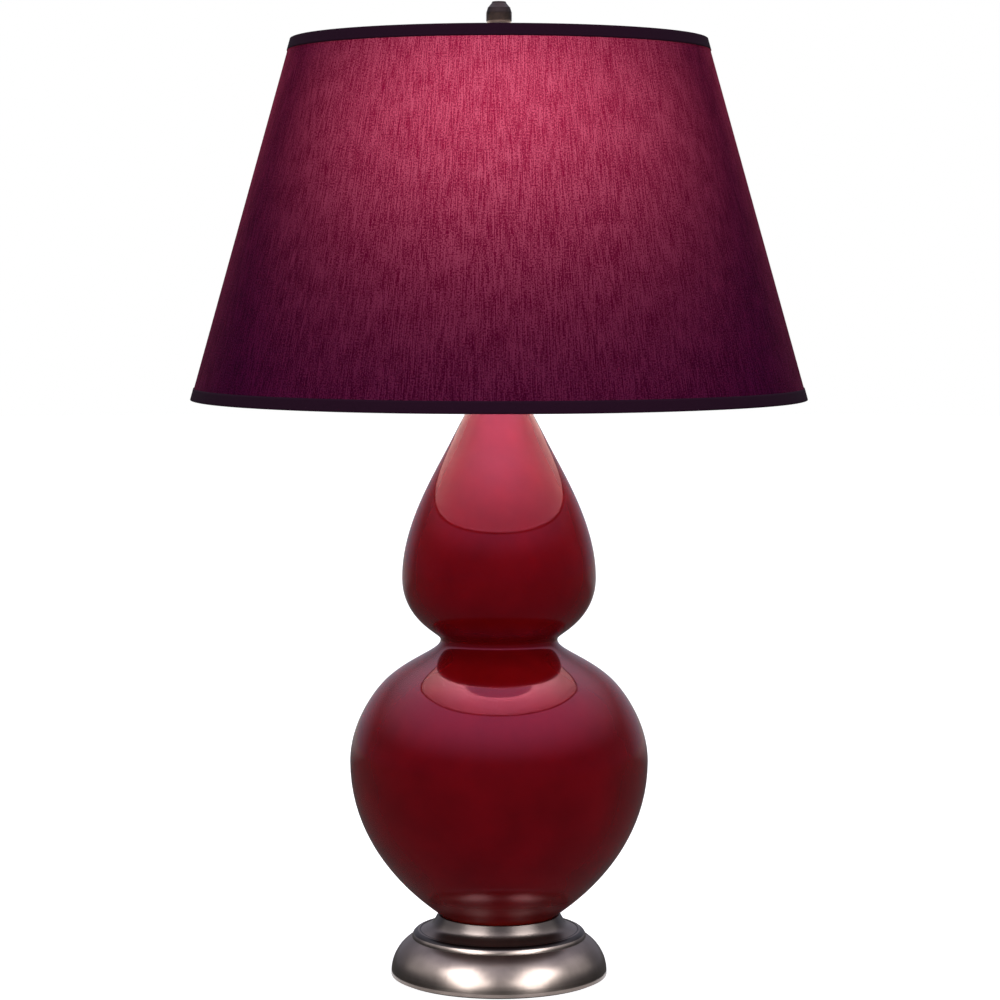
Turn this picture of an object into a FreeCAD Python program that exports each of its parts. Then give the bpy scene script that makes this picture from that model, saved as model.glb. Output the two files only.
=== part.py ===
"""Double gourd table lamp: cast metal foot, glazed ceramic body and a cone shade on a harp.

Millimetres, +Z up. The origin is the middle of the felt under the foot, and +X is to the
right of someone who faces the lamp. Every piece is turned about the Z axis unless it says so.
"""
import FreeCAD
import Part
import math
import os

# ---------------------------------------------------------------- fits
seat_gap = 0.1          # around a piece that is seated in another
running_gap = 0.05      # radial play of a piece that turns or slides on another
pipe_gap = 0.15         # radial room in each hole that the threaded pipe passes

# ---------------------------------------------------------------- rounding of edges
crisp = 0.3
fine = 0.6
eased = 1.0
soft = 2.0

# ---------------------------------------------------------------- cast metal foot
felt_t = 1.5
felt_inset = 3.0
base_r = 88.0           # widest radius, at the rim
base_rim_h = 1.5        # upright rim under the bell-shaped skirt
skirt_round = 32.6      # radius of the skirt's round section
base_wall = 3.0
ring_r = 70.9           # outer radius of the quarter-round ring above the skirt
ring_round = 6.0
ring_groove = 0.5       # fine groove between ring and cove
cove_r = 54.9           # where the cove turns up into the collar
cove_h = 39.7           # height of that turn above the felt
cove_round = 8.0
collar_h = 49.0         # height of the collar's lip above the felt
collar_lip = 1.8        # width of the lip around the ceramic
cup_depth = 6.5         # how deep the ceramic sits in the collar
cup_floor_t = 3.0

# ---------------------------------------------------------------- ballast and its fixing
weight_r = 75.0
weight_lift = 2.5       # room between felt and ballast
weight_t = 10.0
weight_hub_r = 18.0
weight_fillet = 4.0     # at the foot of the hub
nut_pocket_r = 16.0
nut_pocket_h = 8.0
washer_r = 13.0
washer_t = 1.6
nut_flats = 17.0
nut_t = 5.0
channel_w = 9.0         # slot in the ballast that leads the cord to the pipe

# ---------------------------------------------------------------- cord inlet at the back
inlet_h = 11.5          # height of its axis above the felt
inlet_bore_r = 3.0
inlet_sleeve_r = 4.5
inlet_flange_r = 5.5
inlet_flange_t = 1.7
inlet_depth = 9.0       # length of the sleeve behind the flange

# ---------------------------------------------------------------- glazed ceramic body
foot_gasket_t = 1.5
foot_gasket_r = 46.0
foot_gasket_bore_r = 12.0
gourd_h = 420.5
gourd_wall = 5.0
gourd_floor_t = 6.0
gourd_foot_r = 43.5
gourd_lip_r = 47.5      # radius where the foot leaves the collar
gourd_lip_h = 5.0
belly_r = 121.0         # widest part of the lower gourd
belly_h = 131.0
shoulder_r = 92.5
shoulder_h = 196.5
waist_r = 47.5
waist_h = 230.0
hip_r = 55.0
hip_h = 237.5
crown_r = 78.5          # widest part of the upper gourd
crown_h = 280.5
neck_r = 37.0
neck_l = 26.0           # straight cone below the mouth
mouth_r = 24.0
mouth_bore_r = 16.0
mouth_straight = 4.0    # upright stretch of the bore at the mouth
mouth_round = 1.5

# ---------------------------------------------------------------- vase cap and spacer
cap_gasket_t = 1.0
cap_h = 11.0
cap_overhang = 3.6      # how far the cap reaches out past the mouth
cap_skirt_h = 3.0
cap_skirt_t = 1.6
cap_rim_h = 2.2         # height of the cap's upright rim above the mouth
cap_shoulder_r = 15.0   # where the cap's slope meets the hollow under its button
cap_shoulder_h = 6.5
cap_hollow = 5.0
cap_button_r = 11.0
cap_button_h = 2.0
spacer_r = 9.0
spacer_h = 12.0
spacer_groove = 0.8     # depth and half width of the groove round its middle
spacer_groove_half = 1.5

# ---------------------------------------------------------------- threaded pipe
pipe_r = 4.85
pipe_bore_r = 3.3
pipe_start = 3.0        # height of its lower end above the felt

# ---------------------------------------------------------------- harp and its saddle
saddle_half = 28.0      # from the axis to the middle of each saddle arm
saddle_t = 1.6
saddle_w = 12.0
saddle_bend = 3.0
saddle_arm_h = 14.0
tab_w = 3.0
tab_h = 6.0
harp_h = 254.0          # from the saddle to the shoulder that carries the shade
harp_wire_r = 2.0
harp_leg_h = 30.0       # straight part of each leg, above the saddle arm
harp_half = 56.0        # half the width at the bulb
harp_bulge_low = 110.0  # heights above the saddle where the wire bends
harp_bulge_high = 190.0
harp_crown_half = 24.0
harp_bends = (20.0, 45.0, 60.0, 20.0)   # rounding of a leg's bends, from its foot up
ferrule_r = 4.0
ferrule_h = 14.0
ferrule_waist = 0.5     # depth of the groove round each ferrule
ferrule_waist_h = 9.8   # height of that groove above the ferrule's foot
ferrule_waist_half = 1.0
stud_shoulder_r = 6.5
stud_cover = 1.2        # metal between wire and shoulder
stud_r = 3.1
stud_h = 14.0

# ---------------------------------------------------------------- socket
socket_cap_h = 20.0
socket_boss_r = 8.0
socket_boss_h = 8.0
socket_cap_wall = 0.8
socket_cap_bowl = 3.0   # rounding where the cap's bowl turns upright
socket_rim_drop = 1.2   # height of that turn below the shell's foot
socket_boss_fillet = 1.5
socket_r = 16.5         # outside of the brass shell
socket_wall = 0.6
socket_shell_h = 48.0
socket_overlap = 8.0    # how far the shell goes into the cap
socket_bead_drop = 7.0  # from the shell's open rim down to its bead
socket_bead_half = 1.6
liner_t = 0.8
liner_short = 1.0       # how far the liner ends below the shell's rim
core_h = 16.0
core_lift = 14.0        # height of the core above the cap's lower face
screw_h = 25.4          # height of the threaded metal shell
screw_wall = 0.4
thread_crest_r = 13.0   # outside of the bulb's thread
thread_depth = 0.7
thread_pitch = 3.63
thread_rings = 5
thread_round = 1.2
contact_h = 2.6
contact_w = 6.0
contact_half = 4.0      # half the length of the leaf
contact_t = 0.5
terminal_head_r = 2.8
terminal_head_t = 1.8
terminal_shank_r = 1.4
terminal_seat = 11.0    # distance of the head's seat from the axis
terminal_shank_l = 5.0
terminal_slot_w = 0.7
slot_depth = 0.8        # of every screw's driver slot
pocket_w = 10.0         # pocket in the core round each terminal
pocket_h = 8.0
set_screw_r = 1.5
set_screw_l = 4.5
set_screw_slot_w = 0.6

# ---------------------------------------------------------------- turn switch
switch_stem_r = 1.6
switch_root = 6.0       # depth of the stem in the core, from the axis
knob_start = 19.0
knob_l = 14.0
knob_r = 5.5
knob_small_r = 4.5      # at its inner end
knob_ribs = 12
knob_rib_r = 0.6
knob_rib_in = 1.25      # how far the ribs stop short of each end of the knob

# ---------------------------------------------------------------- bulb
bulb_h = 133.0
bulb_r = 33.35
bulb_wall = 0.9
bulb_base_h = 26.5      # metal base, from the tip to the cement line
bulb_tip_r = 4.8
bulb_tip_h = 1.6
bulb_insulator_h = 3.4
bulb_neck_sink = 6.0    # how deep the glass goes into the base
bulb_flare_h = 20.0     # height above the neck's end where the glass has begun to widen
bulb_flare = 1.6        # and how much wider it is there
bulb_rim_h = 1.0        # plain rim of the metal base above its thread
bulb_base_inset = 1.5   # how much narrower the metal base is at its foot
insulator_r = 10.8
insulator_cover = 1.5   # how far the insulator goes up inside the metal base
tip_ease = 0.4          # how much narrower the tip contact is than the insulator's foot
stem_r = 4.0
stem_h = 40.0
stem_flare_t = 1.2
stem_flare_h = 9.0
stem_fillet = 5.0
filament_r = 9.0
filament_rise = 3.0     # upright foot of each lead, and the rise of each bend after it
filament_wire_r = 0.4

# ---------------------------------------------------------------- shade
shade_h = 286.0
shade_top_r = 166.0     # outside of the fabric at the upper edge
shade_bottom_r = 247.0
spider_drop = 13.0      # how far the hub sits below the shade's upper edge
liner_sheet_t = 0.8
fabric_t = 0.5
trim_t = 0.5
trim_h = 9.0
trim_fold = 2.2         # inner leg of the folded trim
trim_bevel = 0.3
wire_r = 1.5
wire_inset = 4.2        # from the edge of the shade to the middle of the wire
hub_r = 14.0
hub_t = 1.5
arm_r = 1.6
arm_count = 3
arm_flat_r = 112.0      # radius where an arm begins to rise
arm_bend = 25.0

# ---------------------------------------------------------------- finial
finial_h = 41.9
finial_flange_r = 8.0
finial_flange_h = 2.5
finial_waist_r = 5.2
finial_waist_low = 5.0  # heights above the seat where the waist begins and ends
finial_waist_high = 17.0
finial_waist_round = 7.0
finial_knob_r = 10.2
finial_knob_low = 26.0  # heights between which the knob is widest
finial_knob_high = 33.0
finial_knob_round = 3.5
finial_brow_r = 8.8     # where the knob's shoulder meets the groove
finial_groove_h = 37.3
finial_groove = 0.5
finial_cap_r = 6.6      # low button on top
finial_cap_h = 2.2

# ---------------------------------------------------------------- heights in the stack
felt_top = felt_t
collar_top = felt_top + collar_h
cup_floor = collar_top - cup_depth
gourd_foot = cup_floor + foot_gasket_t
cap_seat = gourd_foot + gourd_h + cap_gasket_t
cap_top = cap_seat + cap_h
saddle_seat = cap_top + spacer_h
saddle_top = saddle_seat + saddle_t
arm_top = saddle_seat + saddle_arm_h
shade_seat = saddle_seat + harp_h
harp_crown = shade_seat - stud_cover - harp_wire_r
shell_low = saddle_top + socket_cap_h - socket_overlap
shell_top = shell_low + socket_shell_h
core_low = saddle_top + core_lift
core_top = core_low + core_h
switch_z = core_low + core_h / 2
bulb_tip = core_top + contact_h + seat_gap
bulb_top = bulb_tip + bulb_h
shade_top = shade_seat + spider_drop
shade_bottom = shade_top - shade_h
finial_seat = shade_seat + hub_t

# ---------------------------------------------------------------- radii that follow
cup_r = gourd_lip_r + 4 * seat_gap
collar_r = cup_r + collar_lip
pipe_hole_r = pipe_r + pipe_gap
liner_r = socket_r - socket_wall - seat_gap
core_r = liner_r - liner_t - seat_gap
screw_r = thread_crest_r + 2 * running_gap + screw_wall
bulb_neck_r = thread_crest_r - thread_depth - screw_wall - seat_gap


def point(radius, height):
    """Point on the +X side of the upright plane through the axis."""
    return FreeCAD.Vector(radius, 0, height)


def cylinder(radius, low, high):
    return Part.makeCylinder(radius, high - low, point(0, low))


def tube(outer, inner, low, high):
    return cylinder(outer, low, high).cut(cylinder(inner, low, high))


def run(corners):
    """Edges through corners (radius, height) or (radius, height, round of that corner)."""
    edges = []
    start = point(*corners[0][:2])
    for before, here, after in zip(corners, corners[1:], corners[2:]):
        corner = point(*here[:2])
        if len(here) == 3:
            back = (point(*before[:2]) - corner).normalize()
            ahead = (point(*after[:2]) - corner).normalize()
            half = back.getAngle(ahead) / 2
            reach = here[2] / math.tan(half)
            middle = (back + ahead).normalize() * (here[2] / math.sin(half) - here[2])
            edges.append(Part.makeLine(start, corner + back * reach))
            edges.append(Part.Arc(corner + back * reach, corner + middle,
                                  corner + ahead * reach).toShape())
            start = corner + ahead * reach
        else:
            edges.append(Part.makeLine(start, corner))
            start = corner
    edges.append(Part.makeLine(start, point(*corners[-1][:2])))
    return edges


def bow(start, middle, end):
    """Arc from one (radius, height) through another to a third."""
    return Part.Arc(point(*start), point(*middle), point(*end)).toShape()


def revolved(edges):
    """Solid of revolution about the Z axis from the edges of its half section."""
    face = Part.Face(Part.Wire(edges))
    return face.revolve(point(0, 0), FreeCAD.Vector(0, 0, 1), 360)


def turned(corners):
    return revolved(run(corners + [corners[0]]))


def flowing_side(stations, inset=0.0):
    """Smooth side through stations (radius, height, lean, pull below, pull above).

    The lean is in degrees from upright, outwards, and a pull is how far the side follows it.
    With an inset the side lies that far towards the axis, so that a wall keeps its thickness.
    """
    edges = []
    for low, high in zip(stations, stations[1:]):
        lean_low = math.radians(low[2])
        lean_high = math.radians(high[2])
        along_low = point(math.sin(lean_low), math.cos(lean_low))
        along_high = point(math.sin(lean_high), math.cos(lean_high))
        start = point(low[0] - inset * math.cos(lean_low), low[1] + inset * math.sin(lean_low))
        end = point(high[0] - inset * math.cos(lean_high), high[1] + inset * math.sin(lean_high))
        shorter = inset * 4 / 3 * math.tan((lean_low - lean_high) / 4)
        curve = Part.BezierCurve()
        curve.setPoles([start, start + along_low * (low[4] - shorter),
                        end - along_high * (high[3] - shorter), end])
        edges.append(curve.toShape())
    return edges


def end_of(edges):
    """(radius, height) where a list of edges ends."""
    last = edges[-1].valueAt(edges[-1].LastParameter)
    return (last.x, last.z)


def start_of(edges):
    first = edges[0].valueAt(edges[0].FirstParameter)
    return (first.x, first.z)


def round_bar(path, radius):
    """Bar of round section along a path of edges in the upright plane."""
    wire = Part.Wire(path)
    first = path[0]
    centre = first.valueAt(first.FirstParameter)
    ring = Part.Wire(Part.makeCircle(radius, centre, first.tangentAt(first.FirstParameter)))
    return wire.makePipeShell([ring], True, False)


def sideways(solid, angle):
    """The solid turned about the Z axis."""
    turned_solid = solid.copy()
    turned_solid.rotate(point(0, 0), FreeCAD.Vector(0, 0, 1), angle)
    return turned_solid


def lying_cylinder(radius, start, length, height, direction):
    """Cylinder whose axis leaves the Z axis along a level direction, at a height."""
    origin = FreeCAD.Vector(0, 0, height) + direction * start
    return Part.makeCylinder(radius, length, origin, direction)


RIGHT = FreeCAD.Vector(1, 0, 0)
FRONT = FreeCAD.Vector(0, -1, 0)
BACK = FreeCAD.Vector(0, 1, 0)


# ---------------------------------------------------------------- foot
skirt_centre_r = base_r - skirt_round
skirt_centre_z = felt_top + base_rim_h
ring_z = skirt_centre_z + math.sqrt(skirt_round ** 2 - (ring_r - skirt_centre_r) ** 2)


def skirt_arc(inset, end_z):
    """Round section of the skirt, from the rim up to a height, moved in by the inset."""
    radius = skirt_round - inset
    top = math.asin((end_z - skirt_centre_z) / radius)

    def at(angle):
        return (skirt_centre_r + radius * math.cos(angle), skirt_centre_z + radius * math.sin(angle))
    return bow(at(0), at(top / 2), at(top))


def inlet_seat():
    """Distance from the axis to the face that the inlet's flange sits on."""
    face = skirt_centre_r + math.sqrt(skirt_round ** 2 - (inlet_h - base_rim_h) ** 2)
    return face - inlet_flange_t / 2


def base_foot():
    """Cast foot: bell skirt, quarter-round ring, cove and the collar that holds the ceramic."""
    outside = skirt_arc(0, ring_z)
    inside = skirt_arc(base_wall, ring_z - 2 * base_wall)
    ring_top = (ring_r - ring_round, ring_z + ring_round)
    ring_middle = (ring_r - ring_round * (1 - math.cos(math.pi / 4)),
                   ring_z + ring_round * math.sin(math.pi / 4))
    groove = (ring_top[0] - ring_groove, ring_top[1] - ring_groove)
    upper = run([ring_top, groove, (cove_r, felt_top + cove_h, cove_round),
                 (collar_r, collar_top, fine), (cup_r, collar_top), (cup_r, cup_floor),
                 (pipe_hole_r, cup_floor), (pipe_hole_r, cup_floor - cup_floor_t),
                 (cup_r - base_wall, cup_floor - cup_floor_t, soft), end_of([inside])])
    rim = run([(base_r - base_wall, skirt_centre_z), (base_r - base_wall, felt_top),
               (base_r, felt_top), (base_r, skirt_centre_z)])
    shell = revolved([outside, bow((ring_r, ring_z), ring_middle, ring_top)] + upper
                     + [inside] + rim)
    level = felt_top + inlet_h
    seat = inlet_seat()
    sleeve_end = seat - inlet_depth
    hole = lying_cylinder(inlet_sleeve_r + seat_gap, sleeve_end, base_r - sleeve_end, level, BACK)
    recess = lying_cylinder(inlet_flange_r + seat_gap, seat, base_r - seat, level, BACK)
    return shell.cut(hole).cut(recess)


def base_felt():
    return cylinder(base_r - felt_inset, 0, felt_top)


def base_weight():
    """Iron ballast: a slotted disc with a hub that is drawn up against the cup's floor."""
    low = felt_top + weight_lift
    top = cup_floor - cup_floor_t
    disc = turned([(pipe_hole_r, low + nut_pocket_h), (nut_pocket_r, low + nut_pocket_h),
                   (nut_pocket_r, low), (weight_r, low), (weight_r, low + weight_t),
                   (weight_hub_r, low + weight_t, weight_fillet), (weight_hub_r, top),
                   (pipe_hole_r, top)])
    start = FreeCAD.Vector(-channel_w / 2, weight_hub_r - weight_fillet, low)
    return disc.cut(Part.makeBox(channel_w, weight_r, weight_t, start))


washer_top = felt_top + weight_lift + nut_pocket_h


def base_washer():
    return tube(washer_r, pipe_hole_r, washer_top - washer_t, washer_top)


def base_locknut():
    """Hexagon nut with its corners eased."""
    high = washer_top - washer_t
    corner_r = nut_flats / math.sqrt(3)
    corners = [FreeCAD.Vector(corner_r * math.cos(i * math.pi / 3),
                              corner_r * math.sin(i * math.pi / 3), high - nut_t)
               for i in range(7)]
    hexagon = Part.Face(Part.makePolygon(corners)).extrude(FreeCAD.Vector(0, 0, nut_t))
    cone = Part.makeCone(nut_flats / 2, nut_flats / 2 + nut_t, nut_t, point(0, high - nut_t))
    return hexagon.common(cone).cut(cylinder(pipe_r + running_gap, high - nut_t, high))


def cord_bushing():
    """Flanged sleeve in the back of the skirt, for the supply cord."""
    level = felt_top + inlet_h
    seat = inlet_seat()
    sleeve = lying_cylinder(inlet_sleeve_r, seat - inlet_depth, inlet_depth, level, BACK)
    flange = lying_cylinder(inlet_flange_r, seat, inlet_flange_t, level, BACK)
    bore = lying_cylinder(inlet_bore_r, seat - inlet_depth, inlet_depth + inlet_flange_t,
                          level, BACK)
    return sleeve.fuse(flange).cut(bore).removeSplitter()


# ---------------------------------------------------------------- ceramic body
LOWER_STATIONS = [
    (gourd_lip_r, gourd_foot + gourd_lip_h, 49, 0, 8),
    (belly_r, gourd_foot + belly_h, 0, 79, 30),
    (shoulder_r, gourd_foot + shoulder_h, -46, 14, 26),
    (waist_r, gourd_foot + waist_h, 0, 9, 0),
]
UPPER_STATIONS = [
    (waist_r, gourd_foot + waist_h, 0, 0, 2),
    (hip_r, gourd_foot + hip_h, 54, 8, 21),
    (crown_r, gourd_foot + crown_h, 0, 16, 45),
    (neck_r, gourd_foot + gourd_h - neck_l, -26, 29, 0),
]


def seam(outside_point, inside_point):
    """Level edge across the wall, where the two halves are luted together."""
    return [Part.makeLine(point(*outside_point), point(*inside_point))]


def gourd_lower():
    """Slip-cast lower bulb, from its foot to the waist, with a pipe hole in its floor."""
    outside = flowing_side(LOWER_STATIONS)
    inside = flowing_side(LOWER_STATIONS, gourd_wall)
    floor = gourd_foot + gourd_floor_t
    foot = run([start_of(inside), (gourd_foot_r - gourd_wall, floor), (pipe_hole_r, floor),
                (pipe_hole_r, gourd_foot), (gourd_foot_r, gourd_foot, eased),
                start_of(outside)])
    waist = seam(end_of(outside), end_of(inside))
    return revolved(outside + waist + inside[::-1] + foot)


def gourd_upper():
    """Slip-cast upper bulb, from the waist to the open mouth."""
    outside = flowing_side(UPPER_STATIONS)
    inside = flowing_side(UPPER_STATIONS, gourd_wall)
    top = gourd_foot + gourd_h
    mouth = run([end_of(outside), (mouth_r, top, mouth_round), (mouth_bore_r, top),
                 (mouth_bore_r, top - mouth_straight), end_of(inside)])
    waist = seam(start_of(inside), start_of(outside))
    return revolved(outside + mouth + inside[::-1] + waist)


def foot_gasket():
    return tube(foot_gasket_r, foot_gasket_bore_r, cup_floor, gourd_foot)


def cap_gasket():
    return tube(mouth_r - mouth_round, mouth_bore_r, cap_seat - cap_gasket_t, cap_seat)


def vase_cap():
    """Turned cap that closes the mouth and hides its edge behind a short skirt."""
    outer = mouth_r + cap_overhang
    skirt_low = cap_seat - cap_skirt_h
    return turned([(pipe_hole_r, cap_seat), (mouth_r, cap_seat),
                   (outer - cap_skirt_t, skirt_low), (outer, skirt_low),
                   (outer, cap_seat + cap_rim_h, soft),
                   (cap_shoulder_r, cap_seat + cap_shoulder_h, cap_hollow),
                   (cap_button_r, cap_top - cap_button_h, eased),
                   (cap_button_r, cap_top, fine), (pipe_hole_r, cap_top)])


def neck_spacer():
    middle = (cap_top + saddle_seat) / 2
    return turned([(pipe_hole_r, cap_top), (spacer_r, cap_top, eased),
                   (spacer_r, middle - spacer_groove_half), (spacer_r - spacer_groove, middle),
                   (spacer_r, middle + spacer_groove_half), (spacer_r, saddle_seat, eased),
                   (pipe_hole_r, saddle_seat)])


def threaded_pipe():
    """Steel pipe that clamps foot, ceramic, cap and socket together and leads the cord."""
    return tube(pipe_r, pipe_bore_r, felt_top + pipe_start, saddle_top + socket_boss_h)


# ---------------------------------------------------------------- harp
def harp_saddle():
    """Strap bent up at both ends, each end with a narrow tab for a harp leg."""
    outer = saddle_half + saddle_t / 2
    inner = saddle_half - saddle_t / 2
    strap = Part.Face(Part.Wire(run([
        (outer, arm_top), (inner, arm_top), (inner, saddle_top, saddle_bend - saddle_t),
        (-inner, saddle_top, saddle_bend - saddle_t), (-inner, arm_top), (-outer, arm_top),
        (-outer, saddle_seat, saddle_bend), (outer, saddle_seat, saddle_bend),
        (outer, arm_top)])))
    strap.translate(FreeCAD.Vector(0, -saddle_w / 2, 0))
    solid = strap.extrude(FreeCAD.Vector(0, saddle_w, 0))
    for side in (inner, -outer):
        corner = FreeCAD.Vector(side, -tab_w / 2, arm_top)
        solid = solid.fuse(Part.makeBox(saddle_t, tab_w, tab_h, corner))
    return solid.removeSplitter().cut(cylinder(pipe_hole_r, saddle_seat, saddle_top))


def harp_path():
    """Middle line of the wire, from the foot of the left leg over the top to the right."""
    foot = arm_top + tab_h + 2 * seat_gap
    left = [(-saddle_half, foot), (-saddle_half, arm_top + harp_leg_h + tab_h, harp_bends[0]),
            (-harp_half, saddle_seat + harp_bulge_low, harp_bends[1]),
            (-harp_half, saddle_seat + harp_bulge_high, harp_bends[2]),
            (-harp_crown_half, harp_crown, harp_bends[3])]
    right = [(-corner[0],) + corner[1:] for corner in reversed(left)]
    return run(left + right)


def harp_wire():
    return round_bar(harp_path(), harp_wire_r)


def harp_stud():
    """Turned stud on the crown of the harp: the shade rests on its shoulder."""
    low = harp_crown - harp_wire_r - stud_cover
    stud = turned([(0, low), (stud_shoulder_r, low, eased), (stud_shoulder_r, shade_seat, crisp),
                   (stud_r, shade_seat), (stud_r, shade_seat + stud_h, fine),
                   (0, shade_seat + stud_h)])
    wire = Part.makeCylinder(harp_wire_r + seat_gap, 4 * stud_shoulder_r,
                             point(-2 * stud_shoulder_r, harp_crown), RIGHT)
    return stud.cut(wire)


def ferrule(side):
    """Sleeve that slides down over a leg and its tab. The side is -1 left or 1 right."""
    bore = harp_wire_r + running_gap
    low = arm_top
    groove = low + ferrule_waist_h
    sleeve = turned([(bore, low), (ferrule_r, low, fine),
                     (ferrule_r, groove - ferrule_waist_half), (ferrule_r - ferrule_waist, groove),
                     (ferrule_r, groove + ferrule_waist_half),
                     (ferrule_r, low + ferrule_h, fine), (bore, low + ferrule_h)])
    sleeve.translate(FreeCAD.Vector(side * saddle_half, 0, 0))
    return sleeve


# ---------------------------------------------------------------- socket
def socket_cap():
    """Brass cap: a boss on the pipe that opens into a cup for the shell."""
    inner = socket_r + seat_gap
    outer = inner + socket_cap_wall
    top = saddle_top + socket_cap_h
    boss_top = saddle_top + socket_boss_h
    floor = boss_top + socket_cap_wall
    cap = turned([(pipe_r + running_gap, saddle_top), (socket_boss_r, saddle_top, fine),
                  (socket_boss_r, boss_top, socket_boss_fillet),
                  (outer, shell_low - socket_rim_drop, socket_cap_bowl), (outer, top),
                  (inner, top), (inner, shell_low), (socket_boss_r - socket_cap_wall, floor),
                  (pipe_r + running_gap, floor)])
    level = saddle_top + socket_boss_h / 2
    return cap.cut(lying_cylinder(set_screw_r + running_gap, pipe_r, set_screw_l, level, RIGHT))


def socket_set_screw():
    """Slotted screw in the boss, tight against the pipe."""
    level = saddle_top + socket_boss_h / 2
    start = pipe_r + running_gap
    screw = lying_cylinder(set_screw_r, start, set_screw_l - 2 * running_gap, level, RIGHT)
    end = start + set_screw_l - 2 * running_gap
    slot = Part.makeBox(2 * slot_depth, 4 * set_screw_r, set_screw_slot_w,
                        FreeCAD.Vector(end - slot_depth, -2 * set_screw_r,
                                       level - set_screw_slot_w / 2))
    return screw.cut(slot)


def switch_hole(radius):
    return lying_cylinder(radius, 0, 2 * socket_r, switch_z, FRONT)


def socket_shell():
    """Brass tube with a rolled bead under its open rim."""
    inner = socket_r - socket_wall
    bead = shell_top - socket_bead_drop
    shell = turned([(inner, shell_low), (socket_r, shell_low),
                    (socket_r, bead - socket_bead_half), (socket_r + socket_wall, bead, fine),
                    (socket_r, bead + socket_bead_half), (socket_r, shell_top, crisp),
                    (inner, shell_top)])
    return shell.cut(switch_hole(2.2 * switch_stem_r))


def shell_liner():
    """Insulating sleeve between the brass shell and the core."""
    sleeve = tube(liner_r, liner_r - liner_t, shell_low + seat_gap, shell_top - liner_short)
    return sleeve.cut(switch_hole(2 * switch_stem_r))


def socket_core():
    """Moulded core with a pocket for each terminal screw and a bore for the switch."""
    core = turned([(0, core_low), (core_r, core_low, eased), (core_r, core_top, fine),
                   (0, core_top)])
    for side in (1, -1):
        inner_end = min(side * terminal_seat, side * terminal_seat + side * core_r)
        pocket = Part.makeBox(core_r, pocket_w, pocket_h,
                              FreeCAD.Vector(inner_end, -pocket_w / 2, switch_z - pocket_h / 2))
        shank = lying_cylinder(terminal_shank_r, terminal_seat - terminal_shank_l,
                               terminal_shank_l, switch_z, RIGHT * side)
        core = core.cut(pocket).cut(shank)
    bore = lying_cylinder(switch_stem_r + running_gap, switch_root - seat_gap, core_r,
                          switch_z, FRONT)
    return core.cut(bore)


def terminal_screws():
    """The two binding screws, one each side of the core."""
    screws = []
    for side in (1, -1):
        axis = RIGHT * side
        shank = lying_cylinder(terminal_shank_r, terminal_seat - terminal_shank_l,
                               terminal_shank_l, switch_z, axis)
        head = lying_cylinder(terminal_head_r, terminal_seat, terminal_head_t, switch_z, axis)
        face = terminal_seat + terminal_head_t
        slot = Part.makeBox(2 * slot_depth, 4 * terminal_head_r, terminal_slot_w,
                            FreeCAD.Vector(side * face - slot_depth, -2 * terminal_head_r,
                                           switch_z - terminal_slot_w / 2))
        screws.append(shank.fuse(head).cut(slot).removeSplitter())
    return Part.makeCompound(screws)


def rolled_thread(crest, root, low):
    """Corners of a ring-rolled thread, from low upwards."""
    corners = []
    for ring in range(thread_rings):
        height = low + ring * thread_pitch
        corners.append((crest, height + thread_pitch / 4, thread_round))
        corners.append((root, height + thread_pitch * 3 / 4, thread_round))
    return corners


thread_low = core_top + contact_h + bulb_tip_h + bulb_insulator_h


def screw_shell():
    """Rolled metal shell that takes the bulb's thread."""
    crest = thread_crest_r + 2 * running_gap
    root = crest - thread_depth
    low = core_top
    high = core_top + screw_h
    inside = run([(crest, high), (crest, thread_low + thread_rings * thread_pitch)]
                 + rolled_thread(crest, root, thread_low)[::-1]
                 + [(crest, thread_low - bulb_rim_h), (crest, low)])
    outside = run([(screw_r, low), (screw_r, thread_low - bulb_rim_h)]
                  + rolled_thread(screw_r, screw_r - thread_depth, thread_low)
                  + [(screw_r, thread_low + thread_rings * thread_pitch), (screw_r, high)])
    return revolved(outside + [Part.makeLine(point(screw_r, high), point(crest, high))]
                    + inside + [Part.makeLine(point(crest, low), point(screw_r, low))])


def centre_contact():
    """Springy brass leaf, folded back over itself under the bulb's tip."""
    half = contact_half
    top = core_top + contact_h
    leaf = Part.Face(Part.Wire(run([
        (-half, core_top), (half, core_top), (half, top), (-half / 2, top),
        (-half / 2, top - contact_t), (half - contact_t, top - contact_t),
        (half - contact_t, core_top + contact_t), (-half, core_top + contact_t),
        (-half, core_top)])))
    leaf.translate(FreeCAD.Vector(0, -contact_w / 2, 0))
    return leaf.extrude(FreeCAD.Vector(0, contact_w, 0))


def switch_stem():
    return lying_cylinder(switch_stem_r, switch_root, knob_start + knob_l / 2 - switch_root,
                          switch_z, FRONT)


def switch_knob():
    """Tapered turn knob with grip ribs, on the end of the stem."""
    knob = Part.makeCone(knob_small_r, knob_r, knob_l,
                         FreeCAD.Vector(0, -knob_start, switch_z), FRONT)
    knob_rib_at = (knob_r + knob_small_r) / 2
    for i in range(knob_ribs):
        angle = 2 * math.pi * i / knob_ribs
        foot = FreeCAD.Vector(knob_rib_at * math.cos(angle), -knob_start - knob_rib_in,
                              switch_z + knob_rib_at * math.sin(angle))
        knob = knob.fuse(Part.makeCylinder(knob_rib_r, knob_l - 2 * knob_rib_in, foot, FRONT))
    bore = lying_cylinder(switch_stem_r, knob_start, knob_l / 2, switch_z, FRONT)
    return knob.cut(bore)


# ---------------------------------------------------------------- bulb
glass_low = bulb_tip + bulb_base_h - bulb_neck_sink
glass_eye = bulb_top - bulb_r
BULB_STATIONS = [
    (bulb_neck_r, glass_low, 0, 0, 12),
    (bulb_neck_r + bulb_flare, glass_low + bulb_flare_h, 14, 8, 14),
    (bulb_r, glass_eye, 0, 34, 0),
]


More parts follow.
